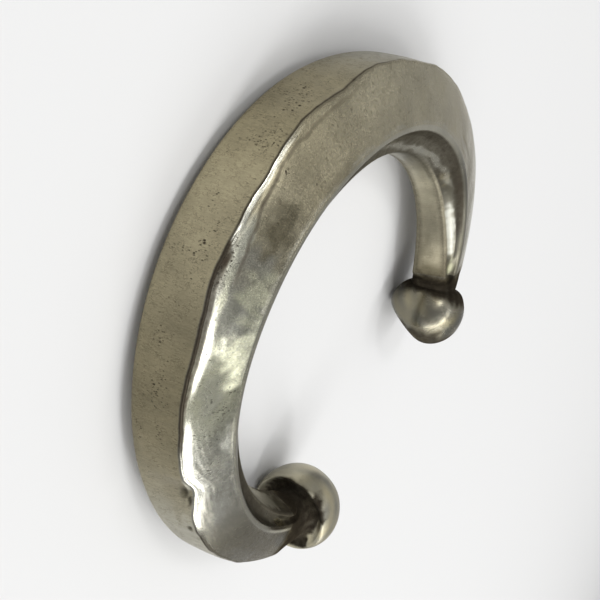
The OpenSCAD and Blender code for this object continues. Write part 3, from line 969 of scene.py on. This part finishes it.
# The metal's own tone varies, and tarnish covers it: raggedly where it is thin, fully in the hollows; the
# same dark layer carries the painted shade
variation = add(mul(cloud, add(mul(grain_in, 0.35), 0.45)), mul(mul(add(mottle, strokes), grain_in), 0.60))
lighter = node("ShaderNodeHueSaturation", {"Value": add(variation, 1.0), "Color": tone_in}).outputs[0]
half_dark = mul(dark_in, math_node("SUBTRACT", 1.0, dark_in))
tarnish_and_shade = math_node("ADD", dark_in, mul(mul(add(mottle, speck), 3.2), half_dark), clamp=True)
tarnish_and_shade = most(tarnish_and_shade, mul(pit, 0.92))
tarnish_and_shade = most(tarnish_and_shade, mul(ramp(speck, 0.10, 0.26, 0.0, 0.75), grain_in))
tarnish_and_shade = most(tarnish_and_shade, mul(hatch, 0.75))
tarnish_and_shade = most(tarnish_and_shade, mul(scratch, 0.10))
tree.links.new(mix_colour(tarnish_and_shade, lighter, TARNISH_AND_SHADE), bsdf.inputs["Base Color"])

grazing = mix_colour(tarnish_and_shade, (1, 1, 1, 1), TARNISH_AND_SHADE_GRAZING)
tree.links.new(grazing, bsdf.inputs["Specular Tint"])

rough = add(add(rough_in, mul(mul(mottle, grain_in), 0.25)), mul(tarnish_and_shade, 0.20))
tree.links.new(most(rough, LEAST_ROUGH), bsdf.inputs["Roughness"])

# Fine relief, in mm
height = mul(add(add(mul(mottle, 0.034), mul(speck, 0.022)), mul(strokes, 0.014)), grain_in)
height = add(height, mul(pit, -0.070))
height = add(height, mul(scratch, -0.004))
grain_bump = node("ShaderNodeBump", {"Strength": 1.0, "Distance": MM, "Height": height})
tree.links.new(grain_bump.outputs[0], bsdf.inputs["Normal"])
mesh.materials.append(silver)

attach(cuff, "root")
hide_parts("bangle")

# Floor and lamps, with lengths in metres
FLOOR_SIZE = 4
FLOOR_GREY = (0.71, 0.71, 0.71, 1)
FLOOR_ROUGHNESS = 0.9
SKY_STRENGTH = 0.50
LAMP_DISTANCE = 1.2
MIDDLE_OF_CUFF = Vector((0, 0, 0.006))
bpy.ops.mesh.primitive_plane_add(size=FLOOR_SIZE, location=(0, 0, 0))
floor = bpy.context.object
floor.name = "floor"
paper = bpy.data.materials.new("floor_paper")
paper.use_nodes = True
paper_bsdf = paper.node_tree.nodes["Principled BSDF"]
paper_bsdf.inputs["Base Color"].default_value = FLOOR_GREY
paper_bsdf.inputs["Roughness"].default_value = FLOOR_ROUGHNESS
floor.data.materials.append(paper)

# Camera of the photograph, fitted to the circles of the ridge, the crest and the wrist face.
# Its place is in mm, with the ring axis at the origin and the ridge level at zero.
CAMERA_AT = Vector((-55.4, 108.6, 54.7))
CAMERA_RIGHT = Vector((0.5403, -0.2154, 0.8134))
CAMERA_DOWN = Vector((-0.7371, -0.5875, 0.3340))
CAMERA_FORWARD = Vector((0.4060, -0.7800, -0.4762))
FIELD_OF_VIEW = 38.91
SENSOR_WIDTH = 36
camera_data = bpy.data.cameras.new("camera")
camera_data.sensor_width = SENSOR_WIDTH
camera_data.lens = SENSOR_WIDTH / 2 / math.tan(math.radians(FIELD_OF_VIEW) / 2)
camera_data.clip_start, camera_data.clip_end = 0.005, 10
camera = bpy.data.objects.new("camera", camera_data)
axes = Matrix((CAMERA_RIGHT, -CAMERA_DOWN, -CAMERA_FORWARD)).transposed().to_4x4()
place = (CAMERA_AT - Vector(shift)) * MM
camera.matrix_world = Matrix.Translation(place) @ axes
bpy.context.scene.collection.objects.link(camera)
bpy.context.scene.camera = camera

scene = bpy.context.scene
scene.view_settings.view_transform = "Standard"
world = bpy.data.worlds.new("studio")
world.use_nodes = True
scene.world = world
world.node_tree.nodes["Background"].inputs["Color"].default_value = (1, 1, 1, 1)
world.node_tree.nodes["Background"].inputs["Strength"].default_value = SKY_STRENGTH


def softbox(name, direction, width, length, radiance, along=(0, 0, 1), colour=(1, 1, 1)):
    """A soft light that looks at the middle of the cuff; its long side lies in the direction along."""
    data = bpy.data.lights.new(name, "AREA")
    data.shape = "RECTANGLE"
    data.size, data.size_y = width, length
    data.energy = radiance * math.pi * width * length
    data.color = colour
    lamp = bpy.data.objects.new(name, data)
    back = Vector(direction).normalized()
    tall = Vector(along) - back * Vector(along).dot(back)
    tall.normalize()
    across = tall.cross(back)
    facing = Matrix((across, tall, back)).transposed().to_4x4()
    lamp.matrix_world = Matrix.Translation(MIDDLE_OF_CUFF + back * LAMP_DISTANCE) @ facing
    scene.collection.objects.link(lamp)


softbox("key", (-0.43, -0.63, 0.65), 0.20, 0.70, 7.0, along=(-0.07, 0.73, 0.68))
softbox("overhead", (0.10, 0.0, 0.99), 0.20, 1.25, 4.5, along=(0.96, 0.16, -0.05))
softbox("warm", (-0.12, -0.47, 0.87), 0.36, 0.36, 1.3, colour=(1, 1, 0.85))
softbox("behind", (0.17, 0.64, 0.75), 0.22, 0.22, 12.0)
softbox("side", (-0.62, -0.18, 0.76), 0.24, 1.36, 6.5, along=(0.62, 0.0, 0.50))
